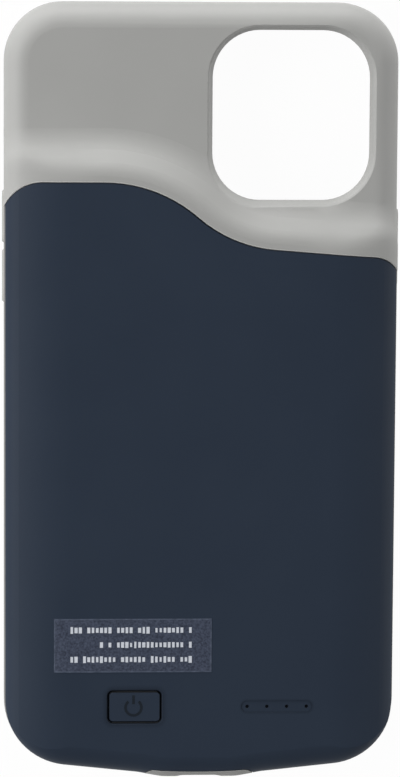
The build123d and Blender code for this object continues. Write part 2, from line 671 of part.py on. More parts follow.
def indicator_lamps():
    """One small lamp on the board under each hole."""
    lamps = [cuboid(x, KEY_Y, BOARD_TOP_Z, LAMP_LENGTH, LAMP_WIDTH, LAMP_HEIGHT) for x in lamp_places()]
    return Compound(children=lamps)


def light_guide():
    """Clear bar under the shell's roof with a pip in each hole."""
    length = (LAMP_COUNT - 1) * LAMP_PITCH + 2 * GUIDE_END
    guide = cuboid(lamp_middle_x(), KEY_Y, ROOF_Z - GUIDE_THICKNESS, length, GUIDE_WIDTH, GUIDE_THICKNESS)
    for x in lamp_places():
        guide += block(Pos(x, KEY_Y) * Circle(LAMP_HOLE_D / 2 - PIP_GAP), ROOF_Z, HUMP_Z - PIP_SINK)
    return guide


def light_shield():
    """Foam block between the board and the light guide, with a window for each lamp."""
    length = (LAMP_COUNT - 1) * LAMP_PITCH + 2 * GUIDE_END + 2 * SHIELD_BORDER
    width = GUIDE_WIDTH + 2 * SHIELD_BORDER
    height = ROOF_Z - GUIDE_THICKNESS - BOARD_TOP_Z
    shield = cuboid(lamp_middle_x(), KEY_Y, BOARD_TOP_Z, length, width, height)
    for x in lamp_places():
        window = Rectangle(LAMP_LENGTH + 2 * SHIELD_WINDOW_GAP, LAMP_WIDTH + 2 * SHIELD_WINDOW_GAP)
        shield -= block(Pos(x, KEY_Y) * window, BOARD_TOP_Z, ROOF_Z)
    return shield


# Battery

def battery_cell():
    """Pouch cell with soft long edges and the thin terrace that its tabs come out of."""
    cell = cuboid(0, CELL_MID_Y, CELL_Z, CELL_WIDTH, CELL_LENGTH, CELL_THICKNESS)
    cell = fillet(cell.edges().filter_by(Axis.Y), CELL_EDGE_R)
    terrace_width = CELL_WIDTH - 2 * CELL_EDGE_R
    return cell + cuboid(0, STRIP_Y, CELL_Z, terrace_width, CELL_TERRACE, CELL_TERRACE_THICKNESS)


def cell_tapes():
    """Two strips of double-sided tape that hold the cell on the tray."""
    length = CELL_LENGTH - 2 * TAPE_END_GAP
    return Compound(children=[
        cuboid(side * TAPE_X, CELL_MID_Y, TRAY_Z, TAPE_WIDTH, length, TAPE_THICKNESS) for side in (-1, 1)])


def cell_foam_pad():
    """Foam between the cell and the shell's roof."""
    return cuboid(0, CELL_MID_Y, CELL_Z + CELL_THICKNESS, FOAM_WIDTH, FOAM_LENGTH, FOAM_THICKNESS)


def protection_strip():
    """Narrow board with the cell's protection circuit, on the terrace."""
    return cuboid(0, STRIP_Y, STRIP_Z, STRIP_LENGTH, STRIP_WIDTH, STRIP_THICKNESS)


def cell_leads():
    """Two nickel leads, bent down from the protection strip to the main board."""
    high = STRIP_Z + STRIP_THICKNESS
    start_y = STRIP_Y - STRIP_WIDTH / 2 + LEAD_LAP
    drop_y = (STRIP_Y - STRIP_WIDTH / 2 + BOARD_TOP_Y) / 2
    end_y = BOARD_TOP_Y - LEAD_LAP
    thick = LEAD_THICKNESS
    low = BOARD_TOP_Z
    below = [(end_y, low), (drop_y, low), (drop_y, high), (start_y, high)]
    bend_y = drop_y - thick
    above = [(start_y, high + thick), (bend_y, high + thick), (bend_y, low + thick), (end_y, low + thick)]
    profile = Polyline(*below, *above, close=True)
    lead = extrude(Plane.YZ * make_face(profile.edges()), amount=LEAD_WIDTH / 2, both=True)
    return Compound(children=[Pos(side * LEAD_X, 0, 0) * lead for side in (-1, 1)])


# Main board and what is soldered to it

def screw_places():
    """Places of the board's screws."""
    return [(side * SCREW_X, BOTTOM_Y + SCREW_FROM_BOTTOM) for side in (-1, 1)]


def main_board():
    """Circuit board in the case's lower end, cut out for the socket."""
    plan = shell_plan(TRAY_INSET + RIB_THICKNESS + BOARD_EDGE_GAP)
    plan &= Pos(0, BOARD_TOP_Y - FAR_Y / 2) * Rectangle(CASE_WIDTH, FAR_Y)
    board = block(plan, BOARD_Z, BOARD_TOP_Z)
    cut_width = SOCKET_WIDTH + 2 * FIT
    cut_length = SOCKET_BACK_Y + FIT - BOTTOM_Y
    board -= cuboid(0, BOTTOM_Y + cut_length / 2, BOARD_Z, cut_width, cut_length, BOARD_THICKNESS)
    for x, y in screw_places():
        board -= block(Pos(x, y) * Circle(SCREW_D / 2 + FIT), BOARD_Z, BOARD_TOP_Z)
    return board


def board_screws():
    """Small screws that hold the board on the tray's bosses."""
    screws = []
    for x, y in screw_places():
        screw = block(Pos(x, y) * Circle(SCREW_HEAD_D / 2), BOARD_TOP_Z, BOARD_TOP_Z + SCREW_HEAD_HEIGHT)
        screw += block(Pos(x, y) * Circle(SCREW_D / 2), BOARD_Z - SCREW_BITE, BOARD_TOP_Z)
        drive = Pos(x, y) * RegularPolygon(DRIVE_D / 2, 6)
        head_z = BOARD_TOP_Z + SCREW_HEAD_HEIGHT
        screws.append(screw - block(drive, head_z - DRIVE_DEPTH, head_z))
    return Compound(children=screws)


def socket_bar(grow, low_y, high_y):
    """Bar of the socket's section between two places along Y."""
    plane = Plane(origin=(0, low_y, SOCKET_Z), x_dir=(1, 0, 0), z_dir=(0, 1, 0))
    section = SlotOverall(SOCKET_WIDTH + 2 * grow, SOCKET_HEIGHT + 2 * grow)
    return extrude(plane * section, amount=high_y - low_y)


def charge_socket():
    """Socket's drawn steel shell, closed at the back, with solder tabs on the board."""
    shell = socket_bar(0, SOCKET_FRONT_Y, SOCKET_BACK_Y)
    shell -= socket_bar(-SOCKET_WALL, SOCKET_FRONT_Y, SOCKET_BACK_Y - SOCKET_WALL)
    for side in (-1, 1):
        for from_back in SOCKET_TAB_FROM_BACK:
            y = SOCKET_BACK_Y - from_back - SOCKET_TAB_LENGTH / 2
            inner = SOCKET_WIDTH / 2 - SOCKET_WALL / 2
            reach = SOCKET_TAB_REACH + SOCKET_WALL / 2
            shell += cuboid(side * (inner + reach / 2), y, BOARD_TOP_Z, reach, SOCKET_TAB_LENGTH, SOCKET_WALL)
    return shell


def socket_tongue():
    """Contact tongue on its block at the back of the socket."""
    back = SOCKET_BACK_Y - SOCKET_WALL
    tongue = socket_bar(-SOCKET_WALL - FIT / 2, back - TONGUE_BLOCK, back)
    y = back - TONGUE_BLOCK - TONGUE_LENGTH / 2
    low = SOCKET_Z - TONGUE_THICKNESS / 2
    return tongue + cuboid(0, y, low, TONGUE_WIDTH, TONGUE_LENGTH, TONGUE_THICKNESS)


def charge_controller():
    """Charge control chip."""
    return cuboid(CHIP_X, CHIP_Y, BOARD_TOP_Z, CHIP_SIDE, CHIP_SIDE, CHIP_HEIGHT)


def power_inductor():
    """Shielded coil of the step-up converter."""
    coil = Pos(COIL_X, CHIP_Y) * RectangleRounded(COIL_SIDE, COIL_SIDE, COIL_CORNER_R)
    return block(coil, BOARD_TOP_Z, BOARD_TOP_Z + COIL_HEIGHT)


def board_capacitors():
    """Row of ceramic capacitors, each with a raised metal band at both ends."""
    first = COIL_X + COIL_SIDE / 2 + CAPACITOR_PITCH
    capacitors = []
    for i in range(CAPACITOR_COUNT):
        x = first + i * CAPACITOR_PITCH
        length = CAPACITOR_LENGTH - 2 * CAPACITOR_BAND
        width = CAPACITOR_WIDTH - 2 * CAPACITOR_SKIN
        height = CAPACITOR_HEIGHT - 2 * CAPACITOR_SKIN
        one = cuboid(x, CHIP_Y, BOARD_TOP_Z + CAPACITOR_SKIN, width, length, height)
        for end in (-1, 1):
            y = CHIP_Y + end * (CAPACITOR_LENGTH - CAPACITOR_BAND) / 2
            one += cuboid(x, y, BOARD_TOP_Z, CAPACITOR_WIDTH, CAPACITOR_BAND, CAPACITOR_HEIGHT)
        capacitors.append(one)
    return Compound(children=capacitors)


# Phone plug

def contact_places():
    """X of each of the plug's contacts."""
    first = -(CONTACT_COUNT - 1) * CONTACT_PITCH / 2
    return [first + i * CONTACT_PITCH for i in range(CONTACT_COUNT)]


def contact_blocks():
    """Contacts of both faces of the plug, flush with them."""
    y = PLUG_TIP_Y - CONTACT_FROM_TIP - CONTACT_LENGTH / 2
    faces = (PHONE_MID_Z + PLUG_THICKNESS / 2 - CONTACT_DEPTH, PHONE_MID_Z - PLUG_THICKNESS / 2)
    blocks = []
    for low in faces:
        for x in contact_places():
            blocks.append(cuboid(x, y, low, CONTACT_WIDTH, CONTACT_LENGTH, CONTACT_DEPTH))
    return blocks


def phone_plug():
    """Flat plug with a bevelled tip, a notch in each side and recesses for its contacts."""
    plug = plug_section(0, PLUG_ROOT_Y, PLUG_TIP_Y)
    tip = plug.faces().sort_by(Axis.Y)[-1]
    plug = chamfer(tip.edges(), PLUG_TIP_BEVEL)
    notch = Rectangle(2 * PLUG_NOTCH_DEPTH, PLUG_NOTCH_LENGTH)
    for side in (-1, 1):
        place = Pos(side * PLUG_WIDTH / 2, PLUG_TIP_Y - PLUG_NOTCH_FROM_TIP)
        plug -= block(place * notch, PHONE_MID_Z - PLUG_THICKNESS, PHONE_MID_Z + PLUG_THICKNESS)
    for contact in contact_blocks():
        plug -= contact
    return plug


def plug_contacts():
    """Gilt contacts in the plug's recesses."""
    return Compound(children=contact_blocks())


def plug_board():
    """Small board that the plug is soldered to."""
    return cuboid(0, PLUG_BOARD_Y, PLUG_BOARD_Z, PLUG_BOARD_WIDTH, PLUG_BOARD_LENGTH, PLUG_BOARD_THICKNESS)


def plug_seat():
    """Plastic seat that holds the plug and its board on the floor of the chin's pocket."""
    high = PLUG_BOARD_Z + PLUG_BOARD_THICKNESS + SEAT_COVER
    length = CHIN_POCKET_LENGTH - 2 * SEAT_GAP
    y = POCKET_FRONT_Y - SEAT_GAP - length / 2
    seat = cuboid(0, y, CHIN_FLOOR, SEAT_WIDTH, length, high - CHIN_FLOOR)
    slot_length = PLUG_BOARD_LENGTH + 2 * SEAT_GAP
    slot_y = PLUG_BOARD_Y - SEAT_GAP / 2
    slot_height = PLUG_BOARD_THICKNESS + 2 * SEAT_GAP
    seat -= cuboid(0, slot_y, PLUG_BOARD_Z - SEAT_GAP, PLUG_BOARD_WIDTH, slot_length, slot_height)
    return seat - plug_section(SEAT_GAP, PLUG_ROOT_Y - SEAT_GAP, PLUG_TIP_Y)


def plug_flex():
    """Flat cable from the plug's board, up through the tray to the underside of the main board."""
    low = PLUG_BOARD_Z + PLUG_BOARD_THICKNESS + FLEX_THICKNESS / 2
    high = BOARD_Z - FLEX_THICKNESS / 2
    points = [(FLEX_Y - FLEX_FOOT, low), (FLEX_Y, low), (FLEX_Y, high), (FLEX_Y + FLEX_LAP, high)]
    path = FilletPolyline(*points, radius=FLEX_BEND_R)
    ribbon = make_face(offset(path, FLEX_THICKNESS / 2, side=Side.BOTH).edges())
    return Pos(FLEX_X, 0, 0) * extrude(Plane.YZ * ribbon, amount=FLEX_WIDTH / 2, both=True)


def main():
    body = outer_body()
    pieces = {
        "soft_frame": soft_frame(body),
        "back_shell": back_shell(body),
        "inner_tray": inner_tray(),
        "battery_cell": battery_cell(),
        "cell_tapes": cell_tapes(),
        "cell_foam_pad": cell_foam_pad(),
        "protection_strip": protection_strip(),
        "cell_leads": cell_leads(),
        "main_board": main_board(),
        "board_screws": board_screws(),
        "charge_socket": charge_socket(),
        "socket_tongue": socket_tongue(),
        "charge_controller": charge_controller(),
        "power_inductor": power_inductor(),
        "board_capacitors": board_capacitors(),
        "indicator_lamps": indicator_lamps(),
        "light_shield": light_shield(),
        "light_guide": light_guide(),
        "key_switch": key_switch(),
        "switch_stem": switch_stem(),
        "power_key": power_key(),
        "phone_plug": phone_plug(),
        "plug_contacts": plug_contacts(),
        "plug_seat": plug_seat(),
        "plug_board": plug_board(),
        "plug_flex": plug_flex(),
    }
    os.makedirs("parts", exist_ok=True)
    for name, piece in pieces.items():
        export_step(piece, f"parts/{name}.step")


if __name__ == "__main__":
    main()
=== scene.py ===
from math import cos, pi, radians, sin

import bmesh
import bpy
from mathutils import Matrix, Vector
from mathutils.kdtree import KDTree


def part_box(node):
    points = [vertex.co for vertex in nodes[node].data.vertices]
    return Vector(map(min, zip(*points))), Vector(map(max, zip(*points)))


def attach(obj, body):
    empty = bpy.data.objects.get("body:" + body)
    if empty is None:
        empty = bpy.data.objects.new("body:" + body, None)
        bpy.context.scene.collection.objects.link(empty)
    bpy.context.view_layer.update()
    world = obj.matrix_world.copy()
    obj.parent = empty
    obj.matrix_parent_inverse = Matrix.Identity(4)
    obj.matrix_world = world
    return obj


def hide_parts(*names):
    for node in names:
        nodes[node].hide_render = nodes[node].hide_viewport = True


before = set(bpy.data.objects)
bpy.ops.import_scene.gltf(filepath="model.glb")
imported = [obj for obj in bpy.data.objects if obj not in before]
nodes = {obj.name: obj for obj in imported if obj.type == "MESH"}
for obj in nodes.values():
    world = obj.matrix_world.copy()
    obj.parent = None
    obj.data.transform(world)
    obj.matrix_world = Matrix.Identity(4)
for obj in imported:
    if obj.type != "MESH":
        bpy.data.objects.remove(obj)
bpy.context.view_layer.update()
MM = 0.001


# Soft frame: the grey bumper that the handset snaps into, with the thin upper back and the ramp to the seam.
# Thermoplastic elastomer, injection-moulded in one shot.
# The tool is spark-eroded, so the skin is matt, with a fine grain and a soft light on its roundings.
def linear(code):
    """Linear colour with alpha 1 from an sRGB hex value."""
    parts = [int(code[i:i + 2], 16) / 255 for i in (1, 3, 5)]
    return [*(c / 12.92 if c <= 0.04045 else ((c + 0.055) / 1.055) ** 2.4 for c in parts), 1.0]


def add(tree, kind, props=None, values=None, links=None):
    """Adds a node with its properties, its sockets' values and the sockets that feed it."""
    made = tree.nodes.new(kind)
    for name, value in (props or {}).items():
        setattr(made, name, value)
    for name, value in (values or {}).items():
        made.inputs[name].default_value = value
    for name, source in (links or {}).items():
        tree.links.new(source, made.inputs[name])
    return made


def blank_finish(name):
    """New material with an empty node tree."""
    material = bpy.data.materials.new(name)
    material.use_nodes = True
    material.node_tree.nodes.clear()
    return material


# Noise lies mostly between these two values, so tones and roughness are spread over that range.
NOISE_LOW = 0.3
NOISE_HIGH = 0.7
GRAIN_SPREAD = 0.05
GRAIN_STRENGTH = 0.6


def moulded_finish(name, light, dark, cloud, grain, relief, roughness, **sockets):
    """Moulded skin: two close tones in clouds, and a grain of a given size and relief, in millimetres."""
    material = blank_finish(name)
    tree = material.node_tree
    coords = add(tree, "ShaderNodeTexCoord").outputs["Object"]
    clouds = add(tree, "ShaderNodeTexNoise", values={"Scale": 1 / (cloud * MM), "Detail": 2.0},
                 links={"Vector": coords})
    tones = add(tree, "ShaderNodeValToRGB", links={"Fac": clouds.outputs["Fac"]})
    for stop, position, code in zip(tones.color_ramp.elements, (NOISE_LOW, NOISE_HIGH), (dark, light)):
        stop.position = position
        stop.color = linear(code)
    grains = add(tree, "ShaderNodeTexNoise", links={"Vector": coords},
                 values={"Scale": 1 / (grain * MM), "Detail": 3.0, "Roughness": 0.6})
    rough = add(tree, "ShaderNodeMapRange", links={"Value": grains.outputs["Fac"]},
                values={"From Min": NOISE_LOW, "From Max": NOISE_HIGH,
                        "To Min": roughness - GRAIN_SPREAD, "To Max": roughness + GRAIN_SPREAD})
    bump = add(tree, "ShaderNodeBump", values={"Strength": GRAIN_STRENGTH, "Distance": relief * MM},
               links={"Height": grains.outputs["Fac"]})
    shader = add(tree, "ShaderNodeBsdfPrincipled", values=sockets,
                 links={"Base Color": tones.outputs["Color"], "Roughness": rough.outputs["Result"],
                        "Normal": bump.outputs["Normal"]})
    add(tree, "ShaderNodeOutputMaterial", links={"Surface": shader.outputs["BSDF"]})
    return material


def part_of(tree, kind):
    """First node of a kind in a tree."""
    return next(node for node in tree.nodes if node.bl_idname == kind)


# An even matt grey to the eye. The real grain is about 0.05 mm, drawn at 0.3 mm so that it shows.
matt_elastomer = moulded_finish(
    "matt_moulded_elastomer", "#999997", "#979795", cloud=14.0, grain=0.3, relief=0.006, roughness=0.6,
    **{"IOR": 1.5, "Specular IOR Level": 0.4})
# Edges up to 0.15 mm wide, along the seam and round the opening, get a painted highlight: their colour is
# mixed towards a near white where light would catch them.
# A face is at an edge where its normal turns away from the one of a rounded edge.
EDGE_WIDTH = 0.15
EDGE_SAMPLES = 6
EDGE_HIGHLIGHT_SHARE = 0.75
EDGE_BEGINS = 0.98
EDGE_FULL = 0.8
tree = matt_elastomer.node_tree
skin_shader = part_of(tree, "ShaderNodeBsdfPrincipled")
skin_tones = part_of(tree, "ShaderNodeValToRGB").outputs["Color"]
rounded = add(tree, "ShaderNodeBevel", {"samples": EDGE_SAMPLES}, {"Radius": EDGE_WIDTH * MM})
faced = add(tree, "ShaderNodeNewGeometry")
agree = add(tree, "ShaderNodeVectorMath", {"operation": "DOT_PRODUCT"},
            links={0: rounded.outputs["Normal"], 1: faced.outputs["Normal"]})
painted_highlight_mask = add(tree, "ShaderNodeMapRange", links={"Value": agree.outputs["Value"]},
             values={"From Min": EDGE_BEGINS, "From Max": EDGE_FULL, "To Max": EDGE_HIGHLIGHT_SHARE})
# Painted highlight: the skin's colour on these edges is mixed towards a near white.
painted_highlight = add(tree, "ShaderNodeMix", {"data_type": "RGBA"}, links={0: painted_highlight_mask.outputs["Result"], 6: skin_tones})
painted_highlight.inputs[7].default_value = linear("#E2E2E0")
tree.links.new(painted_highlight.outputs[2], skin_shader.inputs["Base Color"])

# Where the ramp runs into the shoulders the tool was blended by hand, so the ridge there is soft.
# Each zone is a low and a high corner in plan, outside which the node's own normals stay.
# The back's outside lies above the skin's level, and its normals look up or out by at least these parts.
BLEND_ZONES = [((-45.0, 37.0), (-22.0, 54.0)), ((22.0, 22.0), (45.0, 39.0))]
BLEND_FADE = 3.0
BLEND_REACH = 3.0
BLEND_STEP = 1.5
SKIN_LEVEL = 9.5
LOOKS_UP = 0.3
LOOKS_OUT = 0.5
JOIN_REACH = 0.001


def joined_copy(node):
    """Bmesh of a CAD node with its doubled corners joined, and its normals in the layer made_normal."""
    data = nodes[node].data.copy()
    layer = data.attributes.new("made_normal", "FLOAT_VECTOR", "CORNER")
    layer.data.foreach_set("vector", [value for normal in data.corner_normals for value in normal.vector])
    mesh = bmesh.new()
    mesh.from_mesh(data)
    bpy.data.meshes.remove(data)
    bmesh.ops.remove_doubles(mesh, verts=mesh.verts, dist=JOIN_REACH * MM)
    for face in mesh.faces:
        face.smooth = True
        face.material_index = 0
    return mesh


def refine(mesh, zone, level, step):
    """Cuts the faces that reach into a zone, above a level, along upright planes a step apart."""
    (low_x, low_y), (high_x, high_y) = zone

    def reaches(face):
        xs, ys, zs = zip(*(vert.co / MM for vert in face.verts))
        over_x = max(xs) > low_x and min(xs) < high_x
        over_y = max(ys) > low_y and min(ys) < high_y
        return over_x and over_y and max(zs) > level

    for axis, low, high in ((Vector((1, 0, 0)), low_x, high_x), (Vector((0, 1, 0)), low_y, high_y)):
        for number in range(1, int((high - low) / step)):
            faces = [face for face in mesh.faces if reaches(face)]
            edges = {edge for face in faces for edge in face.edges}
            verts = {vert for face in faces for vert in face.verts}
            bmesh.ops.bisect_plane(mesh, geom=[*faces, *edges, *verts], dist=JOIN_REACH * MM,
                                   plane_co=axis * (low + number * step) * MM, plane_no=axis)
    bmesh.ops.triangulate(mesh, faces=[face for face in mesh.faces if len(face.verts) > 3])
    mesh.normal_update()


def outer(face):
    """True for the faces of the back's outside, which look up or out to a side."""
    middle = face.calc_center_median()
    to_side = face.normal.x * middle.x > LOOKS_OUT * abs(middle.x)
    return middle.z > SKIN_LEVEL * MM and (face.normal.z > LOOKS_UP or to_side)


def zone_share(co, zone):
    """How far a point lies inside a zone: 0 at its border, 1 from the fade's width on."""
    (low_x, low_y), (high_x, high_y) = zone
    inside = min(co.x / MM - low_x, high_x - co.x / MM, co.y / MM - low_y, high_y - co.y / MM)
    return min(max(inside / BLEND_FADE, 0.0), 1.0)


def piece(name, mesh, materials, body):
    """Makes an object of a bmesh, in place, that rides on a body and takes the given finishes."""
    data = bpy.data.meshes.new(name)
    mesh.to_mesh(data)
    mesh.free()
    for material in materials:
        data.materials.append(material)
    made = bpy.data.objects.new(name, data)
    bpy.context.scene.collection.objects.link(made)
    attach(made, body)
    return made


rubber = joined_copy("soft_frame")
made_normal = rubber.loops.layers.float_vector["made_normal"]
for zone in BLEND_ZONES:
    refine(rubber, zone, SKIN_LEVEL, BLEND_STEP)
skin = [face for face in rubber.faces if outer(face)]
places = KDTree(len(skin))
for number, face in enumerate(skin):
    places.insert(face.calc_center_median(), number)
places.balance()
for face in skin:
    for loop in face.loops:
        share = max(zone_share(loop.vert.co, zone) for zone in BLEND_ZONES)
        if share > 0:
            near = Vector()
            for co, number, distance in places.find_range(loop.vert.co, BLEND_REACH * MM):
                weight = (1 - (distance / (BLEND_REACH * MM)) ** 2) ** 2
                near += skin[number].normal * skin[number].calc_area() * weight
            loop[made_normal] = loop[made_normal].lerp(near.normalized(), share).normalized()
bumper = piece("bumper", rubber, [matt_elastomer], "case")
normals = [item.vector.copy() for item in bumper.data.attributes["made_normal"].data]
bumper.data.attributes.remove(bumper.data.attributes["made_normal"])
bumper.data.normals_split_custom_set(normals)
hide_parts("soft_frame")


# Inner tray: the stiff plate that closes the battery's room towards the handset.
# Moulded ABS, snapped into the shell by the windows in its rib.
# Its face was polished less than the shell's, so it scatters light evenly.
def dress(node, material):
    """Gives a CAD node its finish."""
    nodes[node].data.materials.clear()
    nodes[node].data.materials.append(material)


grey_abs = moulded_finish(
    "textured_grey_abs", "#6F7173", "#6A6C6E", cloud=9.0, grain=0.25, relief=0.01, roughness=0.55,
    **{"IOR": 1.54})
dress("inner_tray", grey_abs)


# Handset plug: flat plug in the chin, its contacts, seat, small board and flat cable.
# Nickel-plated steel body with gilt contacts, soldered to a laminate board.
# A plastic seat holds the board in the chin.
LINE_STRETCH = 25
LINE_SPREAD = 0.08


def plated_finish(name, light, dark, line, roughness):
    """Plated or rolled metal with fine lines along Y, a given distance apart in millimetres."""
    material = blank_finish(name)
    tree = material.node_tree
    coords = add(tree, "ShaderNodeTexCoord").outputs["Object"]
    across = 1 / (line * MM)
    along = across / LINE_STRETCH
    stretch = add(tree, "ShaderNodeMapping", values={"Scale": (across, along, across)},
                  links={"Vector": coords})
    lines = add(tree, "ShaderNodeTexNoise", values={"Scale": 1.0, "Detail": 2.0},
                links={"Vector": stretch.outputs["Vector"]})
    tones = add(tree, "ShaderNodeValToRGB", links={"Fac": lines.outputs["Fac"]})
    for stop, position, code in zip(tones.color_ramp.elements, (NOISE_LOW, NOISE_HIGH), (dark, light)):
        stop.position = position
        stop.color = linear(code)
    rough = add(tree, "ShaderNodeMapRange", links={"Value": lines.outputs["Fac"]},
                values={"To Min": roughness - LINE_SPREAD, "To Max": roughness + LINE_SPREAD})
    shader = add(tree, "ShaderNodeBsdfPrincipled", values={"Metallic": 1.0},
                 links={"Base Color": tones.outputs["Color"], "Roughness": rough.outputs["Result"]})
    add(tree, "ShaderNodeOutputMaterial", links={"Surface": shader.outputs["BSDF"]})
    return material


# Nickel plate shines softly over the steel's drawing lines, and the gilt is warmer and smoother.
# The real lines are under 0.03 mm apart, drawn at 0.06 to 0.1 mm so that they show.
nickel_plate = plated_finish("nickel_plated_steel", "#C9C8C4", "#B4B3B0", line=0.08, roughness=0.25)
gilt = plated_finish("gilt_contact_face", "#E3BE63", "#C79F48", line=0.06, roughness=0.2)
# Solder mask lies glossy and green over the woven glass of the laminate, with threads about 0.4 mm apart.
board_mask = moulded_finish(
    "solder_masked_laminate", "#16522E", "#0F4224", cloud=0.8, grain=0.4, relief=0.004, roughness=0.3,
    **{"IOR": 1.55})
# Polyimide film is glossy and amber, and a little darker where copper lies under it.
amber_film = moulded_finish(
    "amber_flat_cable", "#A8641F", "#96561A", cloud=1.2, grain=0.3, relief=0.002, roughness=0.28,
    **{"IOR": 1.6})
dress("phone_plug", nickel_plate)
dress("plug_contacts", gilt)
dress("plug_seat", grey_abs)
dress("plug_board", board_mask)
dress("plug_flex", amber_film)

# Battery: pouch cell on two tapes, with foam above it, its protection strip and two nickel leads.
# The pouch is nylon-coated aluminium foil, slightly crinkled where the wound foils press through.
# It has a satin metal light, broken by the crinkles.
pouch_foil = moulded_finish(
    "satin_pouch_foil", "#BFC1C4", "#B2B4B8", cloud=7.0, grain=2.2, relief=0.05, roughness=0.32,
    **{"Metallic": 0.85})
# The tape is a matt white film, a little uneven from its glue.
white_tape = moulded_finish(
    "white_tape_film", "#E2E1DC", "#D9D8D3", cloud=3.0, grain=0.4, relief=0.005, roughness=0.5,
    **{"IOR": 1.48})
# Open pores of about 0.4 mm let hardly any light back out.
black_foam = moulded_finish(
    "open_cell_foam", "#161616", "#080808", cloud=0.5, grain=0.4, relief=0.12, roughness=0.9,
    **{"Specular IOR Level": 0.2})
# Rolled strip is duller than plate, with lines along its length.
rolled_nickel = plated_finish("rolled_nickel_strip", "#BDBAB3", "#A6A39C", line=0.1, roughness=0.35)
dress("cell_tapes", white_tape)
dress("battery_cell", pouch_foil)
dress("cell_foam_pad", black_foam)
dress("protection_strip", board_mask)
dress("cell_leads", rolled_nickel)

# Main board: laminate with the charge chip, coil, capacitors and socket soldered on, held by two screws.
# Chips are moulded epoxy, the coil is pressed ferrite, and the capacitors are fired ceramic.
# Nylon has a faint gloss, and epoxy is matt from the tool's blasted face.
black_nylon = moulded_finish(
    "moulded_black_nylon", "#141416", "#0D0D0F", cloud=2.0, grain=0.2, relief=0.008, roughness=0.45,
    **{"IOR": 1.53})
chip_epoxy = moulded_finish(
    "moulded_chip_epoxy", "#1B1B1D", "#131315", cloud=1.0, grain=0.15, relief=0.01, roughness=0.6,
    **{"IOR": 1.55})
# Ferrite shows its pressed powder as specks, and ceramic is brown and slightly glazed.
pressed_ferrite = moulded_finish(
    "pressed_ferrite", "#333336", "#29292C", cloud=0.6, grain=0.2, relief=0.02, roughness=0.5,
    **{"IOR": 1.8})
fired_ceramic = moulded_finish(
    "fired_capacitor_ceramic", "#8F6C4C", "#80603F", cloud=0.7, grain=0.15, relief=0.01, roughness=0.4,
    **{"IOR": 1.7})
dress("main_board", board_mask)
dress("board_screws", nickel_plate)
dress("charge_socket", nickel_plate)
dress("socket_tongue", black_nylon)
dress("charge_controller", chip_epoxy)
dress("power_inductor", pressed_ferrite)
dress("board_capacitors", fired_ceramic)

# Indicator: four lamps on the board in a foam shield, under a bar of smoked polycarbonate.
# The bar's pips come up into the shell's holes, and look dark there until a lamp is lit.
# Lamp resin is cast, with a smooth face and a yellow tinge from its phosphor.
lamp_resin = moulded_finish(
    "cast_lamp_resin", "#DCD9BA", "#D3CFAE", cloud=0.5, grain=0.2, relief=0.004, roughness=0.25,
    **{"IOR": 1.53})
# The smoked bar is dark of itself; its colour and gloss are also painted near black, as painted shade for
# the bottom of the narrow holes it sits in.
smoked_shaded_guide = moulded_finish(
    "smoked_shaded_polycarbonate", "#05070D", "#030509", cloud=2.0, grain=0.5, relief=0.002, roughness=0.4,
    **{"IOR": 1.58, "Specular IOR Level": 0.03})
dress("indicator_lamps", lamp_resin)
dress("light_shield", black_foam)
dress("light_guide", smoked_shaded_guide)

# Switch: dome switch on the board with a round stem, which the key's post presses.
# Black nylon body and a white acetal stem.
# Acetal is milky and slightly waxy, with a soft gloss.
white_acetal = moulded_finish(
    "moulded_white_acetal", "#DAD9D5", "#D2D1CD", cloud=1.0, grain=0.2, relief=0.006, roughness=0.35,
    **{"IOR": 1.48})
dress("key_switch", black_nylon)
dress("switch_stem", white_acetal)

# Back shell: dark navy cover over the battery, flush with the frame along the S seam.
# Moulded polycarbonate and ABS, sprayed with a soft-touch lacquer.
# Shade is painted into the lacquer round the key's window and over the strip of the indicator holes,
# darkening its colour and its gloss.
KEY_MIDDLE = (-13.1, -62.6)
KEY_HALF = (5.1, 3.0)
KEY_CORNER = 0.8
KEY_SHADE_STOPS = [(-0.2, 1.0), (-0.05, 0.35), (0.3, 0.35), (0.5, 0.72), (1.5, 1.0)]
STRIP_MIDDLE = (15.455, -62.6)
STRIP_HALF = (7.15, 1.2)
STRIP_CORNER = 1.19
STRIP_SHADE_STOPS = [(-0.3, 0.95), (-0.05, 0.8), (0.1, 0.85), (0.5, 1.0)]
LACQUER_ROUGHNESS = 0.57
LACQUER_GLOSS = 0.1
LACQUER_SHEEN = 0.08
SHEEN_ROUGHNESS = 0.35


def painted_shade_round(tree, coords, middle, half, corner, stops):
    """Painted shade by the distance from a rounded rectangle in plan: stops are pairs of distance and shade
    factor.
    """
    core = tuple((size - corner) * MM for size in half)
    place = tuple(value * MM for value in middle)
    centred = add(tree, "ShaderNodeVectorMath", {"operation": "SUBTRACT"}, links={0: coords})
    centred.inputs[1].default_value = (*place, 0.0)
    folded = add(tree, "ShaderNodeVectorMath", {"operation": "ABSOLUTE"},
                 links={0: centred.outputs["Vector"]})
    outside = add(tree, "ShaderNodeVectorMath", {"operation": "SUBTRACT"},
                  links={0: folded.outputs["Vector"]})
    # The shape is in plan alone: a metre off the height takes it below zero, where it is clipped.
    outside.inputs[1].default_value = (*core, 1.0)
    clipped = add(tree, "ShaderNodeVectorMath", {"operation": "MAXIMUM"},
                  links={0: outside.outputs["Vector"]})
    clipped.inputs[1].default_value = (0.0, 0.0, 0.0)
    distance = add(tree, "ShaderNodeVectorMath", {"operation": "LENGTH"},
                   links={0: clipped.outputs["Vector"]})
    reach = stops[-1][0] + corner
    scaled = add(tree, "ShaderNodeMapRange", values={"From Max": reach * MM},
                 links={"Value": distance.outputs["Value"]})
    ramp = add(tree, "ShaderNodeValToRGB", links={"Fac": scaled.outputs["Result"]})
    elements = ramp.color_ramp.elements
    ready = len(elements)
    for number, (far, painted_shade) in enumerate(stops):
        position = (far + corner) / reach
        stop = elements[number] if number < ready else elements.new(position)
        stop.position = position
        stop.color = (painted_shade, painted_shade, painted_shade, 1.0)
    return ramp.outputs["Color"]


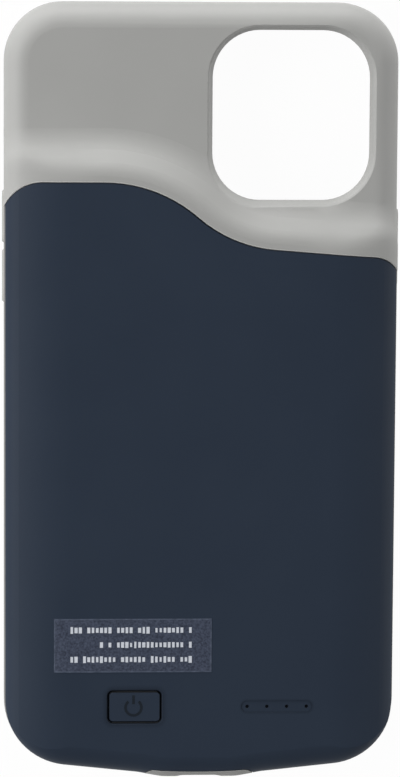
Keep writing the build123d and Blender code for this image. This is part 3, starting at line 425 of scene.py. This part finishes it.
# Soft-touch lacquer is matt and even face-on, and a little paler where it turns away from the eye.
# Its real grain is under 0.05 mm, drawn at 0.25 mm so that it shows.
soft_touch = moulded_finish(
    "soft_touch_lacquer", "#252E3B", "#232C39", cloud=18.0, grain=0.25, relief=0.004,
    roughness=LACQUER_ROUGHNESS,
    **{"IOR": 1.5, "Specular IOR Level": LACQUER_GLOSS, "Sheen Weight": LACQUER_SHEEN,
       "Sheen Roughness": SHEEN_ROUGHNESS})
tree = soft_touch.node_tree
coords = part_of(tree, "ShaderNodeTexCoord").outputs["Object"]
lacquer = part_of(tree, "ShaderNodeBsdfPrincipled")
tones = part_of(tree, "ShaderNodeValToRGB").outputs["Color"]
# Painted shade round the key's window and over the indicator strip darkens the lacquer's colour.
key_painted_shade = painted_shade_round(tree, coords, KEY_MIDDLE, KEY_HALF, KEY_CORNER, KEY_SHADE_STOPS)
strip_painted_shade = painted_shade_round(tree, coords, STRIP_MIDDLE, STRIP_HALF, STRIP_CORNER, STRIP_SHADE_STOPS)
painted_shade = add(tree, "ShaderNodeVectorMath", {"operation": "MULTIPLY"}, links={0: key_painted_shade, 1: strip_painted_shade})
shaded_tones = add(tree, "ShaderNodeVectorMath", {"operation": "MULTIPLY"},
            links={0: tones, 1: painted_shade.outputs["Vector"]})
# The same painted shade lowers the lacquer's gloss there.
gloss = add(tree, "ShaderNodeMath", {"operation": "MULTIPLY"}, links={0: painted_shade.outputs["Vector"]})
gloss.inputs[1].default_value = LACQUER_GLOSS
tree.links.new(shaded_tones.outputs["Vector"], lacquer.inputs["Base Color"])
tree.links.new(gloss.outputs["Value"], lacquer.inputs["Specular IOR Level"])
dress("back_shell", soft_touch)

# Power key: cap flush with the shell in a window, with the common on-off sign printed on it.
# Moulded and sprayed with the shell's lacquer.
# The sign is a ring with a gap at its top and a bar in the gap.
SIGN_X = -13.32
SIGN_Y = -62.7
SIGN_RADIUS = 1.6
SIGN_STROKE = 0.55
SIGN_OPEN = 40.0
SIGN_STEPS = 48
SIGN_BAR_LOW = 0.68
SIGN_BAR_HIGH = 2.5
PRINT_HEIGHT = 0.02


def plate(mesh, corners, low, high):
    """Adds a flat closed plate over a plan outline, given in millimetres and anticlockwise."""
    bottom = [mesh.verts.new((x * MM, y * MM, low * MM)) for x, y in corners]
    top = [mesh.verts.new((x * MM, y * MM, high * MM)) for x, y in corners]
    mesh.faces.new(reversed(bottom))
    mesh.faces.new(top)
    for i, corner in enumerate(bottom):
        j = (i + 1) % len(bottom)
        mesh.faces.new((corner, bottom[j], top[j], top[i]))


dress("power_key", soft_touch)
key_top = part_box("power_key")[1].z / MM
sign_top = key_top + PRINT_HEIGHT
sign = bmesh.new()
half = SIGN_STROKE / 2
turn = (2 * pi - 2 * radians(SIGN_OPEN)) / SIGN_STEPS
angles = [pi / 2 + radians(SIGN_OPEN) + step * turn for step in range(SIGN_STEPS + 1)]
ring = [(SIGN_RADIUS + half, angle) for angle in angles]
ring += [(SIGN_RADIUS - half, angle) for angle in reversed(angles)]
outline = [(SIGN_X + reach * cos(angle), SIGN_Y + reach * sin(angle)) for reach, angle in ring]
plate(sign, outline, key_top, sign_top)
bar_low = SIGN_Y + SIGN_BAR_LOW
bar_high = SIGN_Y + SIGN_BAR_HIGH
bar_left = SIGN_X - half
bar_right = SIGN_X + half
bar = [(bar_left, bar_low), (bar_right, bar_low), (bar_right, bar_high), (bar_left, bar_high)]
plate(sign, bar, key_top, sign_top)
# Thin pad-printed ink, darker than the lacquer round it and about as matt.
sign_ink = moulded_finish(
    "dark_printed_ink", "#10171F", "#0E151D", cloud=1.0, grain=0.2, relief=0.002, roughness=0.5,
    **{"IOR": 1.5, "Specular IOR Level": 0.12})
piece("key_sign", sign, [sign_ink], "key")

# Film label: thin clear film stuck on the shell's lower left, where it bends down with the shoulder.
# Polyester, frosted on its face, with a narrow cut edge all round.
FILM_LEFT = -29.26
FILM_RIGHT = 2.29
FILM_LOW = -55.52
FILM_HIGH = -44.63
FILM_EDGE = 0.25
FILM_HEIGHT = 0.06
FILM_BENDS = 6
# The shell is flat up to this line, and from there it falls in an arc of this radius.
SHOULDER_X = -26.25
SHOULDER_R = 29.0
shell_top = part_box("back_shell")[1].z / MM
bend_left = FILM_LEFT + FILM_EDGE
bends = [bend_left + (SHOULDER_X - bend_left) * i / FILM_BENDS for i in range(FILM_BENDS + 1)]
film_x = [FILM_LEFT, *bends, FILM_RIGHT - FILM_EDGE, FILM_RIGHT]
film_y = [FILM_LOW, FILM_LOW + FILM_EDGE, FILM_HIGH - FILM_EDGE, FILM_HIGH]
film = bmesh.new()
sheets = []
for level in (0.0, FILM_HEIGHT):
    sheet = []
    for x in film_x:
        z = shell_top + level - max(0.0, SHOULDER_X - x) ** 2 / (2 * SHOULDER_R)
        sheet.append([film.verts.new((x * MM, y * MM, z * MM)) for y in film_y])
    sheets.append(sheet)
below, above = sheets
last_x = len(film_x) - 2
last_y = len(film_y) - 2
for i in range(last_x + 1):
    for j in range(last_y + 1):
        face = film.faces.new((above[i][j], above[i + 1][j], above[i + 1][j + 1], above[i][j + 1]))
        face.material_index = int(i in (0, last_x) or j in (0, last_y))
        film.faces.new((below[i][j], below[i][j + 1], below[i + 1][j + 1], below[i + 1][j]))
    film.faces.new((below[i][0], below[i + 1][0], above[i + 1][0], above[i][0]))
    film.faces.new((below[i + 1][-1], below[i][-1], above[i][-1], above[i + 1][-1]))
for j in range(last_y + 1):
    film.faces.new((below[0][j + 1], below[0][j], above[0][j], above[0][j + 1]))
    film.faces.new((below[-1][j], below[-1][j + 1], above[-1][j + 1], above[-1][j]))
# The navy shows through the frosted film, speckled by dust and tiny bubbles under it.
frosted_film = moulded_finish(
    "frosted_polyester_film", "#3F4657", "#1A2130", cloud=0.38, grain=0.35, relief=0.01, roughness=0.45,
    **{"IOR": 1.5, "Specular IOR Level": 0.25})
# The cut edge scatters more light, so it is a paler line.
film_edge = moulded_finish(
    "cut_film_edge", "#4B5363", "#303847", cloud=0.8, grain=0.3, relief=0.01, roughness=0.45,
    **{"IOR": 1.5, "Specular IOR Level": 0.25})
piece("label_film", film, [frosted_film, film_edge], "case")

# Print on the film: three rows of small pale blocks, screen-printed in one pass.
# The blocks stand in an even grid with some left out, and their widths and heights vary.
# The middle row begins further to the right.
PRINT_LEFT = -25.7
PRINT_RIGHT = -2.0
PRINT_HIGH_ROW = -46.96
PRINT_LOW_ROW = -52.91
PRINT_ROWS = 3
PRINT_COLUMNS = 29
PRINT_SEED = 7
PRINT_LEFT_OUT = 0.17
PRINT_SHORT = -20.2
BLOCK_WIDTH = 0.82
BLOCK_HEIGHT = 1.2
BLOCK_LEAST = (0.5, 0.7, 1.0)
BLOCK_MOST = (0.8, 1.15, 1.0)
# Screen ink is opaque and matt, with a hardly visible mottle.
pale_ink = moulded_finish(
    "pale_screen_print", "#CACED6", "#BCC1CA", cloud=0.5, grain=0.2, relief=0.003, roughness=0.5,
    **{"IOR": 1.5})
tree = bpy.data.node_groups.new("print_blocks", "GeometryNodeTree")
tree.interface.new_socket("Geometry", in_out="OUTPUT", socket_type="NodeSocketGeometry")
print_middle = (PRINT_LEFT + PRINT_RIGHT) / 2
print_sizes = {
    "Columns": ("NodeSocketInt", PRINT_COLUMNS),
    "Rows": ("NodeSocketInt", PRINT_ROWS),
    "Seed": ("NodeSocketInt", PRINT_SEED),
    "Print Width": ("NodeSocketFloat", (PRINT_RIGHT - PRINT_LEFT) * MM),
    "Print Height": ("NodeSocketFloat", (PRINT_HIGH_ROW - PRINT_LOW_ROW) * MM),
    "Block Size": ("NodeSocketVector", Vector((BLOCK_WIDTH, BLOCK_HEIGHT, PRINT_HEIGHT)) * MM),
    "Left Out": ("NodeSocketFloat", PRINT_LEFT_OUT),
    "Short Row": ("NodeSocketFloat", (PRINT_SHORT - print_middle) * MM),
    "Row Pitch": ("NodeSocketFloat", (PRINT_HIGH_ROW - PRINT_LOW_ROW) / (PRINT_ROWS - 1) * MM),
    "Ink": ("NodeSocketMaterial", pale_ink),
}
identifiers = {}
for label, (kind, value) in print_sizes.items():
    identifiers[label] = tree.interface.new_socket(label, in_out="INPUT", socket_type=kind).identifier
given = add(tree, "NodeGroupInput").outputs
grid = add(tree, "GeometryNodeMeshGrid",
           links={"Size X": given["Print Width"], "Size Y": given["Print Height"],
                  "Vertices X": given["Columns"], "Vertices Y": given["Rows"]})
spaces = add(tree, "FunctionNodeRandomValue", {"data_type": "BOOLEAN"},
             links={"Probability": given["Left Out"], "Seed": given["Seed"]})
position = add(tree, "GeometryNodeInputPosition").outputs["Position"]
place = add(tree, "ShaderNodeSeparateXYZ", links={"Vector": position})
height = add(tree, "ShaderNodeMath", {"operation": "ABSOLUTE"}, links={0: place.outputs["Y"]})
half_pitch = add(tree, "ShaderNodeMath", {"operation": "MULTIPLY"}, links={0: given["Row Pitch"]})
half_pitch.inputs[1].default_value = 0.5
in_middle = add(tree, "ShaderNodeMath", {"operation": "LESS_THAN"},
                links={0: height.outputs["Value"], 1: half_pitch.outputs["Value"]})
too_far = add(tree, "ShaderNodeMath", {"operation": "LESS_THAN"},
              links={0: place.outputs["X"], 1: given["Short Row"]})
cut_short = add(tree, "ShaderNodeMath", {"operation": "MULTIPLY"},
                links={0: in_middle.outputs["Value"], 1: too_far.outputs["Value"]})
dropped = add(tree, "FunctionNodeBooleanMath", {"operation": "OR"},
              links={0: spaces.outputs[3], 1: cut_short.outputs["Value"]})
spaced = add(tree, "GeometryNodeDeleteGeometry", {"domain": "POINT"},
             links={"Geometry": grid.outputs["Mesh"], "Selection": dropped.outputs["Boolean"]})
block = add(tree, "GeometryNodeMeshCube", links={"Size": given["Block Size"]})
stretch = add(tree, "FunctionNodeRandomValue", {"data_type": "FLOAT_VECTOR"}, links={"Seed": given["Seed"]})
stretch.inputs[0].default_value = BLOCK_LEAST
stretch.inputs[1].default_value = BLOCK_MOST
blocks = add(tree, "GeometryNodeInstanceOnPoints",
             links={"Points": spaced.outputs["Geometry"], "Instance": block.outputs["Mesh"],
                    "Scale": stretch.outputs[0]})
real = add(tree, "GeometryNodeRealizeInstances", links={"Geometry": blocks.outputs["Instances"]})
inked = add(tree, "GeometryNodeSetMaterial",
            links={"Geometry": real.outputs["Geometry"], "Material": given["Ink"]})
add(tree, "NodeGroupOutput", links={"Geometry": inked.outputs["Geometry"]})
maker = bpy.data.objects.new("print_maker", bpy.data.meshes.new("print_maker"))
bpy.context.scene.collection.objects.link(maker)
printer = maker.modifiers.new("print_blocks", "NODES")
printer.node_group = tree
for label, (kind, value) in print_sizes.items():
    printer[identifiers[label]] = value
bpy.context.view_layer.update()
result = bpy.data.meshes.new_from_object(maker.evaluated_get(bpy.context.evaluated_depsgraph_get()))
maker.modifiers.remove(printer)
bpy.data.objects.remove(maker)
print_y = (PRINT_HIGH_ROW + PRINT_LOW_ROW) / 2
print_z = shell_top + FILM_HEIGHT + PRINT_HEIGHT / 2
result.transform(Matrix.Translation(Vector((print_middle, print_y, print_z)) * MM))
printed = bpy.data.objects.new("label_print", result)
bpy.context.scene.collection.objects.link(printed)
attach(printed, "case")

# Stage: white table under a white sky, seen from above the case's back.
# The table and the sky are white to the camera, to gloss and through clear pieces.
# The table keeps a faint shadow of the case.
FLOOR_HALF = 6.0
FLOOR_GLOW = 0.97
AMBIENT = 0.1
scene = bpy.context.scene
scene.view_settings.view_transform = "Standard"


def shown(tree):
    """1 for rays from the camera, from gloss and through clear pieces, and 0 for all others."""
    rays = add(tree, "ShaderNodeLightPath").outputs
    seen = add(tree, "ShaderNodeMath", {"operation": "MAXIMUM"},
               links={0: rays["Is Camera Ray"], 1: rays["Is Glossy Ray"]})
    either = add(tree, "ShaderNodeMath", {"operation": "MAXIMUM"},
                 links={0: seen.outputs["Value"], 1: rays["Is Transmission Ray"]})
    return either.outputs["Value"]


table = bmesh.new()
corners = [(-FLOOR_HALF, -FLOOR_HALF), (FLOOR_HALF, -FLOOR_HALF), (FLOOR_HALF, FLOOR_HALF),
           (-FLOOR_HALF, FLOOR_HALF)]
table.faces.new([table.verts.new((x, y, 0)) for x, y in corners])
floor_data = bpy.data.meshes.new("table")
table.to_mesh(floor_data)
table.free()
floor = bpy.data.objects.new("table", floor_data)
scene.collection.objects.link(floor)
white_table = blank_finish("white_table")
tree = white_table.node_tree
share = add(tree, "ShaderNodeMath", {"operation": "MULTIPLY"}, links={0: shown(tree)})
share.inputs[1].default_value = FLOOR_GLOW
glow = add(tree, "ShaderNodeEmission", values={"Color": linear("#FFFFFF"), "Strength": 1.0})
paint = add(tree, "ShaderNodeBsdfDiffuse", values={"Color": linear("#E8E8E8")})
mixed = add(tree, "ShaderNodeMixShader",
            links={0: share.outputs["Value"], 1: paint.outputs["BSDF"], 2: glow.outputs["Emission"]})
add(tree, "ShaderNodeOutputMaterial", links={"Surface": mixed.outputs["Shader"]})
floor_data.materials.append(white_table)

world = bpy.data.worlds.new("studio")
scene.world = world
world.use_nodes = True
tree = world.node_tree
tree.nodes.clear()
level = add(tree, "ShaderNodeMapRange", values={"To Min": AMBIENT, "To Max": 1.0},
            links={"Value": shown(tree)})
sky = add(tree, "ShaderNodeBackground", values={"Color": linear("#FFFFFF")},
          links={"Strength": level.outputs["Result"]})
add(tree, "ShaderNodeOutputWorld", links={"Surface": sky.outputs["Background"]})


# Lamps: three soft boxes, beyond the case's top and at both its sides.
# They stand low, so that roundings and the ramp get more light than the flat back.
def soft_box(name, azimuth, elevation, distance, width, height, watts):
    """Area lamp that faces the case: azimuth from +X towards +Y and elevation above the table."""
    lamp = bpy.data.lights.new(name, "AREA")
    lamp.shape = "RECTANGLE"
    lamp.size = width
    lamp.size_y = height
    lamp.energy = watts
    a = radians(azimuth)
    e = radians(elevation)
    away = Vector((cos(a) * cos(e), sin(a) * cos(e), sin(e)))
    facing = away.to_track_quat("Z", "Y").to_matrix().to_4x4()
    made = bpy.data.objects.new(name, lamp)
    made.matrix_world = Matrix.Translation(away * distance) @ facing
    scene.collection.objects.link(made)


soft_box("top_box", azimuth=90.0, elevation=9.0, distance=0.9, width=0.9, height=0.2, watts=9.2)
soft_box("left_box", azimuth=180.0, elevation=33.0, distance=0.9, width=0.7, height=0.5, watts=9.4)
soft_box("right_box", azimuth=0.0, elevation=16.0, distance=0.9, width=0.7, height=0.4, watts=3.8)

# Camera: a long lens nearly square to the back.
# It stands a little towards the case's top and left, and is rolled by a third of a degree.
CAMERA_DISTANCE = 0.8
CAMERA_TILT = 7.29
CAMERA_YAW = -2.9
CAMERA_ROLL = -0.344
CAMERA_TARGET = Vector((0.0001, 0.0006, 0.006))
PIXELS_PER_METRE = 4980
IMAGE_HEIGHT = 777
tilt, yaw, roll = (radians(a) for a in (CAMERA_TILT, CAMERA_YAW, CAMERA_ROLL))
back = Vector((sin(yaw) * cos(tilt), sin(tilt), cos(yaw) * cos(tilt))).normalized()
level_up = (Vector((0, 1, 0)) - back * back.y).normalized()
level_right = level_up.cross(back)
up = level_up * cos(roll) + level_right * sin(roll)
right = up.cross(back)
turned = Matrix((right, up, back)).transposed().to_4x4()
eye = bpy.data.cameras.new("camera")
eye.lens = PIXELS_PER_METRE * CAMERA_DISTANCE * eye.sensor_width / IMAGE_HEIGHT
eye.clip_start = 0.01
camera = bpy.data.objects.new("camera", eye)
camera.matrix_world = Matrix.Translation(CAMERA_TARGET + back * CAMERA_DISTANCE) @ turned
scene.collection.objects.link(camera)
scene.camera = camera
